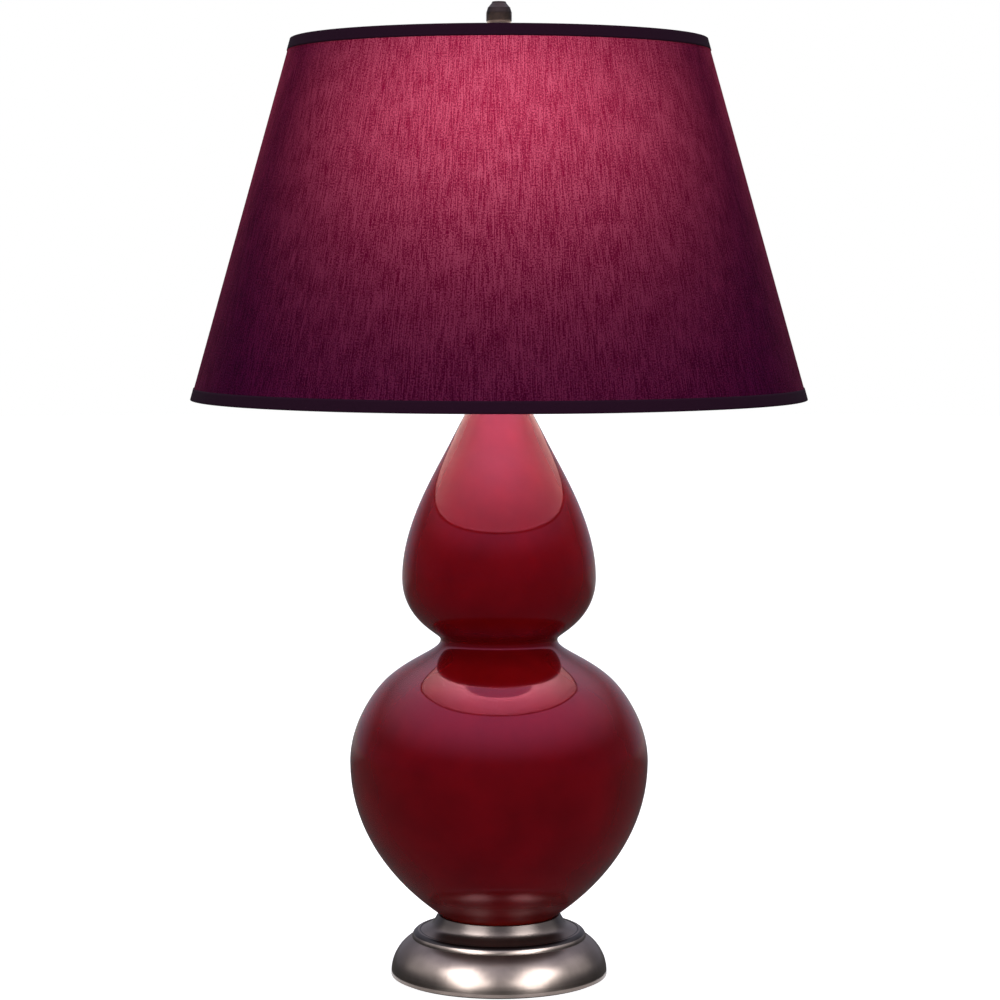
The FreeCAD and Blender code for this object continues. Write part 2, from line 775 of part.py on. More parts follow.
def bulb_glass():
    """Blown glass envelope, open at the neck where the base is cemented on."""
    def cap(radius):
        rise = radius * math.sin(math.pi / 4)
        return bow((radius, glass_eye), (rise, glass_eye + rise), (0, glass_eye + radius))
    outside = flowing_side(BULB_STATIONS)
    inside = flowing_side(BULB_STATIONS, bulb_wall)
    top = Part.makeLine(point(0, bulb_top), point(0, bulb_top - bulb_wall))
    mouth = Part.makeLine(point(*start_of(inside)), point(*start_of(outside)))
    return revolved(outside + [cap(bulb_r), top, cap(bulb_r - bulb_wall)] + inside[::-1]
                    + [mouth])


def bulb_screw_base():
    """Rolled aluminium base, drawn in at the foot around the insulator."""
    low = bulb_tip + bulb_tip_h + bulb_insulator_h
    high = bulb_tip + bulb_base_h
    root = thread_crest_r - thread_depth
    wall = screw_wall
    threads = rolled_thread(thread_crest_r, root, thread_low)
    foot_r = thread_crest_r - bulb_base_inset
    rim = high - bulb_rim_h
    outside = [(foot_r, low)] + threads + [(thread_crest_r, rim), (thread_crest_r, high)]
    inside = [(thread_crest_r - wall, high), (thread_crest_r - wall, rim)]
    inside += [(r - wall, h, bend) for r, h, bend in reversed(threads)]
    inside += [(foot_r - wall, low), (foot_r, low)]
    return revolved(run(outside + inside))


def bulb_insulator():
    low = bulb_tip + bulb_tip_h
    high = low + bulb_insulator_h
    top = high + insulator_cover
    return turned([(0, low), (bulb_tip_r, low), (insulator_r, high, crisp), (insulator_r, top),
                   (0, top)])


def bulb_tip_contact():
    high = bulb_tip + bulb_tip_h
    return turned([(0, bulb_tip), (bulb_tip_r - 2 * tip_ease, bulb_tip, eased),
                   (bulb_tip_r - tip_ease, high), (0, high)])


def bulb_stem():
    """Glass mount inside the envelope, flared where it closes the neck."""
    low = glass_low
    flare = bulb_neck_r - bulb_wall - seat_gap
    return turned([(0, low), (flare, low), (flare, low + stem_flare_t),
                   (stem_r, low + stem_flare_h, stem_fillet), (stem_r, low + stem_h, eased),
                   (0, low + stem_h)])


def bulb_filament():
    """Horseshoe of coiled wire on two leads that stand on the glass mount."""
    foot = glass_low + stem_h
    bend = foot + filament_rise
    half = stem_r - eased - filament_wire_r
    left = [(-half, foot), (-half, bend, eased), (-filament_r, bend + filament_rise, eased),
            (-filament_r, bend + filament_rise + filament_r, soft)]
    right = [(-corner[0],) + corner[1:] for corner in reversed(left)]
    return round_bar(run(left + right), filament_wire_r)


# ---------------------------------------------------------------- shade
def shade_r(height):
    """Radius of the fabric's outer face at a height."""
    share = (shade_top - height) / shade_h
    return shade_top_r + (shade_bottom_r - shade_top_r) * share


def cone_band(outer_inset, thickness, low, high):
    """Band of the cone between two heights, set in from the fabric's outer face."""
    return turned([(shade_r(low) - outer_inset, low), (shade_r(high) - outer_inset, high),
                   (shade_r(high) - outer_inset - thickness, high),
                   (shade_r(low) - outer_inset - thickness, low)])


liner_inset = fabric_t + seat_gap
wire_depth = liner_inset + liner_sheet_t + seat_gap


def shade_fabric():
    return cone_band(0, fabric_t, shade_bottom, shade_top)


def shade_liner():
    return cone_band(liner_inset, liner_sheet_t, shade_bottom, shade_top)


def edge_wire_r(edge, direction):
    """Radius of an edge wire's middle line. The direction is the way into the shade, up or down."""
    lean = math.atan2(shade_bottom_r - shade_top_r, shade_h)
    return shade_r(edge + direction * wire_inset) - (wire_depth + wire_r) / math.cos(lean)


def edge_wire(edge, direction):
    """Round wire just inside the liner, near an edge of the shade."""
    middle = point(0, edge + direction * wire_inset)
    return Part.makeTorus(edge_wire_r(edge, direction), wire_r, middle)


def edge_trim(edge, direction):
    """Tape folded over an edge of the shade: outer band, fold and short inner leg."""
    reach = edge + direction * trim_h
    tuck = edge + direction * trim_fold
    lip = edge - direction * trim_t
    outer = -seat_gap - trim_t
    inner = liner_inset + liner_sheet_t + seat_gap
    deep = shade_r(edge) - inner - trim_t
    return turned([(shade_r(reach) - outer, reach), (shade_r(edge) - outer, edge),
                   (shade_r(edge) - outer - trim_bevel, lip), (deep + trim_bevel, lip),
                   (deep, edge), (shade_r(tuck) - inner - trim_t, tuck),
                   (shade_r(tuck) - inner, tuck),
                   (shade_r(edge) - inner, edge), (shade_r(edge) + seat_gap, edge),
                   (shade_r(reach) + seat_gap, reach)])


def spider_hub():
    """Flat ring that drops over the harp's stud, under the finial."""
    return turned([(stud_r + 2 * running_gap, shade_seat), (hub_r, shade_seat, crisp),
                   (hub_r, finial_seat, crisp), (stud_r + 2 * running_gap, finial_seat)])


def spider_arms():
    """Arms from the hub out and up to the shade's upper wire."""
    wire_height = shade_top - wire_inset
    ring_radius = edge_wire_r(shade_top, -1)
    level = shade_seat + hub_t / 2
    rise = (wire_height - level) / (ring_radius - arm_flat_r)
    end_r = ring_radius - wire_r * math.cos(math.atan(rise)) - seat_gap
    end_z = level + rise * (end_r - arm_flat_r)
    bar = round_bar(run([(hub_r - 2 * arm_r, level), (arm_flat_r, level, arm_bend),
                         (end_r, end_z)]), arm_r)
    bar = bar.cut(cylinder(hub_r + running_gap, shade_seat - 2 * arm_r, shade_top))
    return Part.makeCompound([sideways(bar, 90 + 360 * i / arm_count)
                              for i in range(arm_count)])


# ---------------------------------------------------------------- finial
def finial():
    """Turned metal knob with a blind bore for the harp's stud."""
    seat = finial_seat
    top = seat + finial_h
    bore = stud_r + running_gap
    bore_top = shade_seat + stud_h + 4 * seat_gap
    groove = seat + finial_groove_h
    cap_low = top - finial_cap_h
    return turned([(0, bore_top), (bore, bore_top), (bore, seat), (finial_flange_r, seat, fine),
                   (finial_flange_r, seat + finial_flange_h, fine),
                   (finial_waist_r, seat + finial_waist_low, soft),
                   (finial_waist_r, seat + finial_waist_high, finial_waist_round),
                   (finial_knob_r, seat + finial_knob_low, finial_knob_round),
                   (finial_knob_r, seat + finial_knob_high, finial_knob_round),
                   (finial_brow_r, groove, crisp),
                   (finial_brow_r - finial_groove, groove + crisp),
                   (finial_cap_r, cap_low, fine), (finial_cap_r - fine, cap_low + fine),
                   (finial_cap_r - 2 * fine, top, eased), (0, top)])


def write(name, shape):
    shape.exportStep("parts/" + name + ".step")


os.makedirs("parts", exist_ok=True)
write("base_felt", base_felt())
write("base_foot", base_foot())
write("base_weight", base_weight())
write("base_washer", base_washer())
write("base_locknut", base_locknut())
write("cord_bushing", cord_bushing())
write("foot_gasket", foot_gasket())
write("gourd_lower", gourd_lower())
write("gourd_upper", gourd_upper())
write("cap_gasket", cap_gasket())
write("vase_cap", vase_cap())
write("neck_spacer", neck_spacer())
write("threaded_pipe", threaded_pipe())
write("harp_saddle", harp_saddle())
write("harp_wire", harp_wire())
write("harp_stud", harp_stud())
write("ferrule_left", ferrule(-1))
write("ferrule_right", ferrule(1))
write("socket_cap", socket_cap())
write("socket_set_screw", socket_set_screw())
write("socket_shell", socket_shell())
write("shell_liner", shell_liner())
write("socket_core", socket_core())
write("terminal_screws", terminal_screws())
write("screw_shell", screw_shell())
write("centre_contact", centre_contact())
write("switch_stem", switch_stem())
write("switch_knob", switch_knob())
write("bulb_glass", bulb_glass())
write("bulb_screw_base", bulb_screw_base())
write("bulb_insulator", bulb_insulator())
write("bulb_tip_contact", bulb_tip_contact())
write("bulb_stem", bulb_stem())
write("bulb_filament", bulb_filament())
write("shade_fabric", shade_fabric())
write("shade_liner", shade_liner())
write("shade_top_wire", edge_wire(shade_top, -1))
write("shade_bottom_wire", edge_wire(shade_bottom, 1))
write("shade_top_trim", edge_trim(shade_top, -1))
write("shade_bottom_trim", edge_trim(shade_bottom, 1))
write("spider_hub", spider_hub())
write("spider_arms", spider_arms())
write("finial", finial())
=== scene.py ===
"""Double gourd table lamp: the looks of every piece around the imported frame, in metres, +Z up."""

import bpy
import numpy as np
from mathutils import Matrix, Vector


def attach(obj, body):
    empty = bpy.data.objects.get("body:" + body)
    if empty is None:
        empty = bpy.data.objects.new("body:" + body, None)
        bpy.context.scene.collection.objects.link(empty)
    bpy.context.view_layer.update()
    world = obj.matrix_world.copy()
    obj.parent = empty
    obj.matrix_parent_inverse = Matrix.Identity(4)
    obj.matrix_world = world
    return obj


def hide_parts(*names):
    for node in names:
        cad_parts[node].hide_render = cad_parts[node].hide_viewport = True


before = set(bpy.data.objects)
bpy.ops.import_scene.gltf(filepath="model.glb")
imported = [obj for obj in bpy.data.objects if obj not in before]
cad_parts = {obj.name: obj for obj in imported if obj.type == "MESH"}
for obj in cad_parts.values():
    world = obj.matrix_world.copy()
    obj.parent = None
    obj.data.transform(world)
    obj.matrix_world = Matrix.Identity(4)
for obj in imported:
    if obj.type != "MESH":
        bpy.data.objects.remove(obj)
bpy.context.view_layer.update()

# ---------------------------------------------------------------- cast foot
# Cast zinc foot, turned and polished, plated in nickel and rubbed back to a satin antique grey.
# Brown oxide stays in the groove under the cove, and a painted shade darkens the collar up to the
# ceramic. The pipe that runs through the whole lamp draws it up against the ceramic.


def colour(hex_code):
    """The linear colour of an sRGB hex code."""
    channels = [int(hex_code[i:i + 2], 16) / 255 for i in (0, 2, 4)]
    return [c / 12.92 if c <= 0.04045 else ((c + 0.055) / 1.055) ** 2.4 for c in channels] + [1.0]


def material(name):
    """A new material and its empty node tree."""
    made = bpy.data.materials.new(name)
    made.use_nodes = True
    made.node_tree.nodes.clear()
    return made, made.node_tree


def add(tree, kind, inputs, **settings):
    """Adds a node with its settings, and sets its inputs or links them. Returns its outputs."""
    node = tree.nodes.new(kind)
    for name, value in settings.items():
        setattr(node, name, value)
    for key, value in inputs.items():
        if isinstance(value, bpy.types.NodeSocket):
            tree.links.new(value, node.inputs[key])
        else:
            node.inputs[key].default_value = value
    return node.outputs


def dress(finish, *names):
    """Gives a material to CAD nodes."""
    for name in names:
        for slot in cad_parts[name].material_slots:
            slot.material = finish


# Satin antique nickel: turned on a lathe, so fine rings 0.4 mm apart break up its reflections,
# and toned by a brown oxide in clouds some 20 mm wide. The oxide is darkest in the groove, where
# the polishing wheel didn't reach, and a painted shade darkens the collar towards the ceramic.
ring_spacing = 0.0004
groove_height = 0.0363
groove_half_width = 0.0012
collar_bottom = 0.0370
collar_top = 0.0470
antique_nickel, tree = material("antique_nickel_satin_turned")
place = add(tree, "ShaderNodeTexCoord", {})["Object"]
axes = add(tree, "ShaderNodeSeparateXYZ", {0: place})
level = add(tree, "ShaderNodeCombineXYZ", {0: axes[0], 1: axes[1]})[0]
radius = add(tree, "ShaderNodeVectorMath", {0: level}, operation="LENGTH")["Value"]
section = add(tree, "ShaderNodeCombineXYZ", {0: radius, 2: axes[2]})[0]
rings = add(tree, "ShaderNodeTexNoise", {"Vector": section, "Scale": 1 / ring_spacing,
                                         "Detail": 2.0})[0]
clouds = add(tree, "ShaderNodeTexNoise", {"Vector": place, "Scale": 45.0, "Detail": 4.0})[0]
oxide = add(tree, "ShaderNodeMapRange", {0: clouds, 1: 0.35, 2: 0.75})[0]
tone = add(tree, "ShaderNodeMix", {0: oxide, 6: colour("7D726C"), 7: colour("675E59")},
           data_type="RGBA")[2]
groove = add(tree, "ShaderNodeMath", {0: axes[2], 1: groove_height, 2: groove_half_width},
             operation="COMPARE")[0]
# Painted shade: the collar darkens towards the ceramic, three quarters of the way to the dark tone.
collar_painted_shade = add(tree, "ShaderNodeMapRange", {0: axes[2], 1: collar_bottom, 2: collar_top,
                                          4: 0.75})[0]
oxide_and_painted_shade = add(tree, "ShaderNodeMath", {0: groove, 1: collar_painted_shade}, operation="MAXIMUM")[0]
oxide_and_shade_tone = add(tree, "ShaderNodeMix", {0: oxide_and_painted_shade, 6: tone, 7: colour("322E2E")},
            data_type="RGBA")[2]
satin = add(tree, "ShaderNodeMapRange", {0: rings, 3: 0.24, 4: 0.38})[0]
lines = add(tree, "ShaderNodeBump", {"Height": rings, "Strength": 0.3, "Distance": 0.00005})[0]
metal = add(tree, "ShaderNodeBsdfPrincipled", {"Base Color": oxide_and_shade_tone, "Metallic": 1.0,
                                               "Roughness": satin, "Normal": lines})[0]
add(tree, "ShaderNodeOutputMaterial", {0: metal})
dress(antique_nickel, "base_foot")

# ---------------------------------------------------------------- under the foot
# Iron ballast with a sand-cast skin, held by a zinc-plated washer and nut, a moulded nylon
# bushing for the cord, and a ring of rubber between the foot and the ceramic.


def plain(name, tone, darker, grain, strength, roughness, metallic=0.0):
    """A material whose colour wanders between two tones over a grain of the given size.

    Its roughness wanders by a fifth either way, and its bumps are a quarter of the grain deep.
    """
    made, tree = material(name)
    place = add(tree, "ShaderNodeTexCoord", {})["Object"]
    noise = add(tree, "ShaderNodeTexNoise", {"Vector": place, "Scale": 1 / grain,
                                             "Detail": 4.0})[0]
    mixed = add(tree, "ShaderNodeMix", {0: noise, 6: colour(tone), 7: colour(darker)},
                data_type="RGBA")[2]
    rough = add(tree, "ShaderNodeMapRange", {0: noise, 3: roughness * 0.8,
                                             4: roughness * 1.2})[0]
    bump = add(tree, "ShaderNodeBump", {"Height": noise, "Strength": strength,
                                        "Distance": grain / 4})[0]
    body = add(tree, "ShaderNodeBsdfPrincipled", {"Base Color": mixed, "Metallic": metallic,
                                                  "Roughness": rough, "Normal": bump})[0]
    add(tree, "ShaderNodeOutputMaterial", {0: body})
    return made


# Sand-cast iron is rough and near black, zinc plate bright and bluish, nylon and rubber dull.
dress(plain("grey_iron_sand_cast", "3E3B39", "262423", 0.0012, 0.5, 0.62, 1.0), "base_weight")
zinc_plate = plain("steel_zinc_plated", "B9BBBD", "9B9EA3", 0.003, 0.05, 0.28, 1.0)
dress(zinc_plate, "base_washer", "base_locknut", "threaded_pipe", "socket_set_screw",
      "switch_stem")
dress(plain("nylon_black_moulded", "1C1B1B", "121212", 0.0008, 0.1, 0.42), "cord_bushing")
rubber = plain("rubber_sheet_black", "1B1A19", "111111", 0.001, 0.2, 0.8)
dress(rubber, "foot_gasket", "cap_gasket")


def surface(name, points, finish, wraps=(True, True), uv=None):
    """Makes a mesh from a grid of points (rows, columns, xyz), wrapped along rows or columns.

    Each face joins a point with the next in its row and in its column. A uv array has one row
    and one column more than the faces' own corners, so that it doesn't jump back at the seam.
    """
    rows, columns = points.shape[:2]
    last_row, last_column = rows - (not wraps[0]), columns - (not wraps[1])
    row, column = np.meshgrid(np.arange(last_row), np.arange(last_column), indexing="ij")
    corners = [(row, column), (row, column + 1), (row + 1, column + 1), (row + 1, column)]
    faces = np.stack([(r % rows) * columns + c % columns for r, c in corners], axis=-1)
    mesh = bpy.data.meshes.new(name)
    mesh.from_pydata(points.reshape(-1, 3).tolist(), [], faces.reshape(-1, 4).tolist())
    mesh.shade_smooth()
    if uv is not None:
        layer = mesh.uv_layers.new(name="cloth")
        layer.uv.foreach_set("vector", np.stack([uv[r, c] for r, c in corners],
                                                axis=-2).astype(np.float32).ravel())
    piece = bpy.data.objects.new(name, mesh)
    bpy.context.scene.collection.objects.link(piece)
    mesh.materials.append(finish)
    return piece


def turned(profile, columns):
    """Points of a closed profile (radius, height) carried round the Z axis.

    Column j is the profile turned by j / columns of a turn, anticlockwise from above.
    """
    angle = np.linspace(0, 2 * np.pi, columns, endpoint=False)
    radius, height = profile[:, 0:1], profile[:, 1:2]
    return np.stack([radius * np.cos(angle), radius * np.sin(angle),
                     height + 0 * angle], axis=-1)


# Pressed wool felt, dyed black and glued under the foot: a pad with a soft, rounded edge. Rows
# close to the edge and to the middle keep the shading of its flat faces even.
felt_radius = 0.085
felt_thickness = 0.0015
edge_round = 0.0003
near_edge = 0.084
near_middle = 0.001
middle = 1e-5
felt, tree = material("wool_felt_black_pressed")
place = add(tree, "ShaderNodeTexCoord", {})["Object"]
fibres = add(tree, "ShaderNodeTexNoise", {"Vector": place, "Scale": 900.0, "Detail": 6.0,
                                          "Roughness": 0.7, "Distortion": 2.0})[0]
tone = add(tree, "ShaderNodeMix", {0: fibres, 6: colour("141414"), 7: colour("2B2A2A")},
           data_type="RGBA")[2]
nap = add(tree, "ShaderNodeBump", {"Height": fibres, "Strength": 0.6, "Distance": 0.0003})[0]
wool = add(tree, "ShaderNodeBsdfPrincipled", {"Base Color": tone, "Roughness": 0.95,
                                              "Sheen Weight": 0.3, "Normal": nap})[0]
add(tree, "ShaderNodeOutputMaterial", {0: wool})
t = np.linspace(0, 1, 9)[:, None]
bulge = edge_round * np.sin(np.pi * t)
edge = np.hstack([felt_radius - edge_round + bulge, felt_thickness * t])
inward = np.array([[near_edge, felt_thickness], [near_middle, felt_thickness],
                   [middle, felt_thickness], [middle, 0.0], [near_middle, 0.0],
                   [near_edge, 0.0]])
felt_pad = surface("base_felt_pad", turned(np.vstack([edge, inward]), 192), felt)
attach(felt_pad, "lamp_stand")
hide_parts("base_felt")

# ---------------------------------------------------------------- glazed ceramic body
# Earthenware double gourd, slip-cast in one piece, with a thick oxblood glaze. It stands in the
# foot's collar on a rubber ring, and the cap on its mouth holds it down.
gourd_foot = 0.0455
gourd_height = 0.4205
gourd_wall = 0.005
gourd_stations = np.array([
    # radius, height above the foot, lean in degrees, pull below, pull above
    [0.0475, 0.0050, 49, 0.000, 0.008],
    [0.1210, 0.1310, 0, 0.079, 0.030],
    [0.0925, 0.1965, -46, 0.014, 0.026],
    [0.0475, 0.2300, 0, 0.009, 0.002],
    [0.0550, 0.2375, 54, 0.008, 0.021],
    [0.0785, 0.2805, 0, 0.016, 0.045],
    [0.0370, 0.3945, -26, 0.029, 0.000],
])


def flowing_side(stations, inset, steps):
    """Points (radius, height) of cubic curves through stations, moved in by the inset.

    Between two stations the curve is the cubic whose inner control points lie along each
    station's lean, at the pull's distance, made shorter where the inset tightens the bend.
    """
    lean = np.radians(stations[:, 2])
    along = np.stack([np.sin(lean), np.cos(lean)], axis=1)
    across = np.stack([-np.cos(lean), np.sin(lean)], axis=1)
    at = stations[:, :2] + inset * across
    shorter = inset * 4 / 3 * np.tan((lean[:-1] - lean[1:]) / 4)
    pull_out = (stations[:-1, 4] - shorter)[:, None]
    pull_in = (stations[1:, 3] - shorter)[:, None]
    t = np.linspace(0, 1, steps, endpoint=False)[:, None, None]
    curves = ((1 - t) ** 3 * at[:-1] + 3 * (1 - t) ** 2 * t * (at[:-1] + along[:-1] * pull_out)
              + 3 * (1 - t) * t ** 2 * (at[1:] - along[1:] * pull_in) + t ** 3 * at[1:])
    return np.vstack([curves.transpose(1, 0, 2).reshape(-1, 2), at[-1:]])


def arc(centre, radius, start, end, steps):
    """Points (radius, height) on a circle's arc, with the angles in degrees."""
    angle = np.radians(np.linspace(start, end, steps))
    return np.stack([centre[0] + radius * np.cos(angle),
                     centre[1] + radius * np.sin(angle)], axis=1)


def line(start, end, steps):
    """Points evenly spaced on a line, without its end."""
    return np.linspace(start, end, steps, endpoint=False)


# The section runs up the outside, over the rounded lip, down the mouth and the inside, and
# across the floor, which has the pipe's hole in it, to the ring that the body stands on.
lift = np.array([[0, gourd_foot, 0, 0, 0]])
outside = flowing_side(gourd_stations + lift, 0.0, 26)
inside = flowing_side(gourd_stations + lift, gourd_wall, 12)[::-1]
gourd_top = gourd_foot + gourd_height
lip_round = 0.0014
mouth_radius = 0.0160
pipe_hole = 0.0050
lip = arc((0.0226, gourd_top - lip_round), lip_round, 26, 90, 8)
mouth = np.array([[0.0172, gourd_top], [0.0163, gourd_top - 0.0004],
                  [mouth_radius, gourd_top - 0.0012], [mouth_radius, gourd_top - 0.0040]])
gourd_floor = gourd_foot + 0.006
well = np.array([[0.0385, gourd_floor + 0.0006], [0.0375, gourd_floor],
                 [pipe_hole, gourd_floor], [pipe_hole, gourd_foot], [0.0400, gourd_foot],
                 [0.0428, gourd_foot], [0.0435, gourd_foot + 0.0004]])
profile = np.vstack([outside, line(outside[-1], lip[0], 8)[1:], lip, mouth,
                     line(mouth[-1], inside[0], 6)[1:], inside, well])

# Oxblood glaze: copper-red lead glass over a white body, fired to a deep gloss. It is a little
# thinner and browner at the foot and mouth, duller at the foot, has slow drifts in colour, and
# its surface wavers by hundredths of a millimetre over some 25 mm, with an orange peel of 2.4 mm.
thick_above_foot = 0.0560
thin_at_foot = 0.0505
thick_below_lip = 0.4610
thin_at_lip = 0.4650
glossy_above = 0.0950
dull_below = 0.0650
weak_below = 0.0680
oxblood, tree = material("earthenware_oxblood_glaze")
place = add(tree, "ShaderNodeTexCoord", {})["Object"]
drift = add(tree, "ShaderNodeTexNoise", {"Vector": place, "Scale": 28.0, "Detail": 3.0,
                                         "Roughness": 0.45})[0]
shade = add(tree, "ShaderNodeMapRange", {0: drift, 1: 0.3, 2: 0.7})[0]
deep = add(tree, "ShaderNodeMix", {0: shade, 6: colour("540305"), 7: colour("620408")},
           data_type="RGBA")[2]
height = add(tree, "ShaderNodeSeparateXYZ", {0: place})[2]
thin_foot = add(tree, "ShaderNodeMapRange", {0: height, 1: thick_above_foot,
                                             2: thin_at_foot})[0]
thin_lip = add(tree, "ShaderNodeMapRange", {0: height, 1: thick_below_lip, 2: thin_at_lip})[0]
thin = add(tree, "ShaderNodeMath", {0: thin_foot, 1: thin_lip}, operation="ADD",
           use_clamp=True)[0]
glaze = add(tree, "ShaderNodeMix", {0: thin, 6: deep, 7: colour("7A1A12")},
            data_type="RGBA")[2]
waver = add(tree, "ShaderNodeTexNoise", {"Vector": place, "Scale": 38.0, "Detail": 1.0})[0]
peel = add(tree, "ShaderNodeTexNoise", {"Vector": place, "Scale": 420.0, "Detail": 2.0})[0]
slow = add(tree, "ShaderNodeBump", {"Height": waver, "Strength": 0.15, "Distance": 0.0004})[0]
skin = add(tree, "ShaderNodeBump", {"Height": peel, "Strength": 0.05, "Distance": 0.00012,
                                    "Normal": slow})[0]
duller = add(tree, "ShaderNodeMapRange", {0: height, 1: glossy_above, 2: dull_below,
                                          3: 0.06, 4: 0.3})[0]
weaker = add(tree, "ShaderNodeMapRange", {0: height, 1: glossy_above, 2: weak_below,
                                          3: 0.5, 4: 0.1})[0]
fired = add(tree, "ShaderNodeBsdfPrincipled", {
    "Base Color": glaze, "Roughness": duller, "IOR": 1.8, "Specular IOR Level": weaker,
    "Specular Tint": colour("FF7CAA"), "Normal": skin})[0]
add(tree, "ShaderNodeOutputMaterial", {0: fired})
gourd = surface("gourd_ceramic", turned(profile, 224), oxblood)
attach(gourd, "lamp_stand")
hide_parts("gourd_lower", "gourd_upper")

# ---------------------------------------------------------------- cap and neck
# Turned brass cap on the ceramic's mouth and the tube above it, threaded on the lamp pipe and
# plated in the same satin antique nickel as the foot.
antique_brass = plain("brass_nickel_antique_satin", "7D726C", "675E59", 0.02, 0.05, 0.3, 1.0)
dress(antique_brass, "vase_cap", "neck_spacer")

# ---------------------------------------------------------------- harp and saddle
# Bent steel wire and a bent strap, nickel plated. The ferrules slide down over the legs and
# lock them on the saddle's tabs, and the stud is riveted on the crown.
# Nickel plate on drawn steel is bright, smooth and a little warm.
nickel_wire = plain("steel_nickel_plated", "B3ADA4", "8F8981", 0.0015, 0.08, 0.22, 1.0)
dress(nickel_wire, "harp_saddle", "harp_wire", "harp_stud", "ferrule_left", "ferrule_right")

# ---------------------------------------------------------------- socket and switch
# Drawn brass cap and shell around a fibre sleeve, a moulded phenolic core with two brass
# screws, and the aluminium screw shell that takes the bulb. A phenolic knob turns the switch.
# Drawn brass is yellow and satin, fibre brown and dull, phenolic black and glossy, and rolled
# aluminium pale and bright.
brass = plain("brass_drawn_satin", "C9A35C", "A98545", 0.002, 0.06, 0.26, 1.0)
dress(brass, "socket_cap", "socket_shell", "centre_contact", "terminal_screws")
dress(plain("vulcanised_fibre_sheet", "A58A62", "8C7350", 0.0009, 0.2, 0.7), "shell_liner")
dress(plain("phenolic_black_moulded", "1A1614", "100E0D", 0.0015, 0.05, 0.22), "socket_core",
      "switch_knob")
aluminium = plain("aluminium_rolled", "C8CACC", "AEB1B4", 0.001, 0.1, 0.3, 1.0)
dress(aluminium, "screw_shell", "bulb_screw_base")

# ---------------------------------------------------------------- bulb
# Inside-frosted glass envelope, lit, cemented into a rolled aluminium base. A black glass
# insulator carries the solder tip. The mount and the coiled tungsten stand inside. A lamp near
# the envelope's top stands for its light. It spares the envelope, which would show plain white.
bulb_brightness = 0.9
bulb_power = 4.5
bulb_light_radius = 0.03
bulb_light_height = 0.694


def lets_light_pass(tree, shader):
    """The shader as it is seen, and nothing for the rays that look for the lamps."""
    clear = add(tree, "ShaderNodeBsdfTransparent", {})[0]
    shadow_ray = add(tree, "ShaderNodeLightPath", {})["Is Shadow Ray"]
    return add(tree, "ShaderNodeMixShader", {0: shadow_ray, 1: shader, 2: clear})[0]


# Frosted glass, lit: cream rather than white. Its glow fades to half towards its rim, a painted
# shade so that it looks round.
frosted, tree = material("glass_frosted_lit")
place = add(tree, "ShaderNodeTexCoord", {})["Object"]
frost = add(tree, "ShaderNodeTexNoise", {"Vector": place, "Scale": 400.0, "Detail": 3.0})[0]
white = add(tree, "ShaderNodeMix", {0: frost, 6: colour("5F5A52"), 7: colour("6C665C")},
            data_type="RGBA")[2]
# Painted shade: the glow is weaker where the envelope turns away, towards its rim.
painted_rim_shade = add(tree, "ShaderNodeLayerWeight", {})["Facing"]
strength = add(tree, "ShaderNodeMapRange", {0: painted_rim_shade, 1: 0.3, 3: bulb_brightness,
                                            4: bulb_brightness / 2})[0]
glass = add(tree, "ShaderNodeBsdfPrincipled", {
    "Base Color": white, "Roughness": 0.35, "Emission Color": colour("FFE3B4"),
    "Emission Strength": strength})[0]
add(tree, "ShaderNodeOutputMaterial", {0: lets_light_pass(tree, glass)})
frosted.cycles.emission_sampling = "NONE"
dress(frosted, "bulb_glass")
light = bpy.data.lights.new("bulb_light", "POINT")
light.energy = bulb_power
light.shadow_soft_size = bulb_light_radius
bulb_light = bpy.data.objects.new("bulb_light", light)
bulb_light.location = (0.0, 0.0, bulb_light_height)
bpy.context.scene.collection.objects.link(bulb_light)
# A list whose only entry is left out: the lamp lights every piece but the envelope.
lit_by_bulb = bpy.data.collections.new("lit_by_the_bulb")
lit_by_bulb.objects.link(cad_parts["bulb_glass"])
lit_by_bulb.collection_objects[0].light_linking.link_state = "EXCLUDE"
bulb_light.light_linking.receiver_collection = lit_by_bulb
# The insulator and the stem have the gloss of glass. Solder is dull grey, and tungsten darker.
dress(plain("glass_black_pressed", "0B0B0F", "15151A", 0.002, 0.05, 0.12), "bulb_insulator")
dress(plain("solder_tin_lead", "A9A9A8", "868685", 0.0008, 0.3, 0.4, 1.0), "bulb_tip_contact")
dress(plain("glass_stem_clear", "D9E0DE", "C8D0CE", 0.002, 0.05, 0.08), "bulb_stem")
dress(plain("tungsten_coiled", "6C6862", "4A4743", 0.0003, 0.6, 0.45, 1.0), "bulb_filament")

# ---------------------------------------------------------------- shade's frame
# Steel wire rings, powder coated white, and three arms and a hub plated like the cap, with the
# white styrene sheet that the cloth is laminated on.
# Powder coat is white, half matt and a little pebbled.
powder_coat = plain("steel_powder_coated_white", "E3E0D8", "D6D2C9", 0.0007, 0.15, 0.5)
dress(powder_coat, "shade_top_wire", "shade_bottom_wire")
dress(antique_brass, "spider_hub", "spider_arms")
# White styrene: matt and even, and it lets the lamp's light through to the cloth.
styrene, tree = material("styrene_sheet_white_translucent")
place = add(tree, "ShaderNodeTexCoord", {})["Object"]
grain = add(tree, "ShaderNodeTexNoise", {"Vector": place, "Scale": 700.0, "Detail": 2.0})[0]
sheet_tone = add(tree, "ShaderNodeMix", {0: grain, 6: colour("F2ECE2"), 7: colour("E7E0D5")},
                 data_type="RGBA")[2]
satin_skin = add(tree, "ShaderNodeBump", {"Height": grain, "Strength": 0.1,
                                          "Distance": 0.0001})[0]
sheet = add(tree, "ShaderNodeBsdfPrincipled", {"Base Color": sheet_tone, "Roughness": 0.45,
                                               "Normal": satin_skin})[0]
add(tree, "ShaderNodeOutputMaterial", {0: lets_light_pass(tree, sheet)})
dress(styrene, "shade_liner")

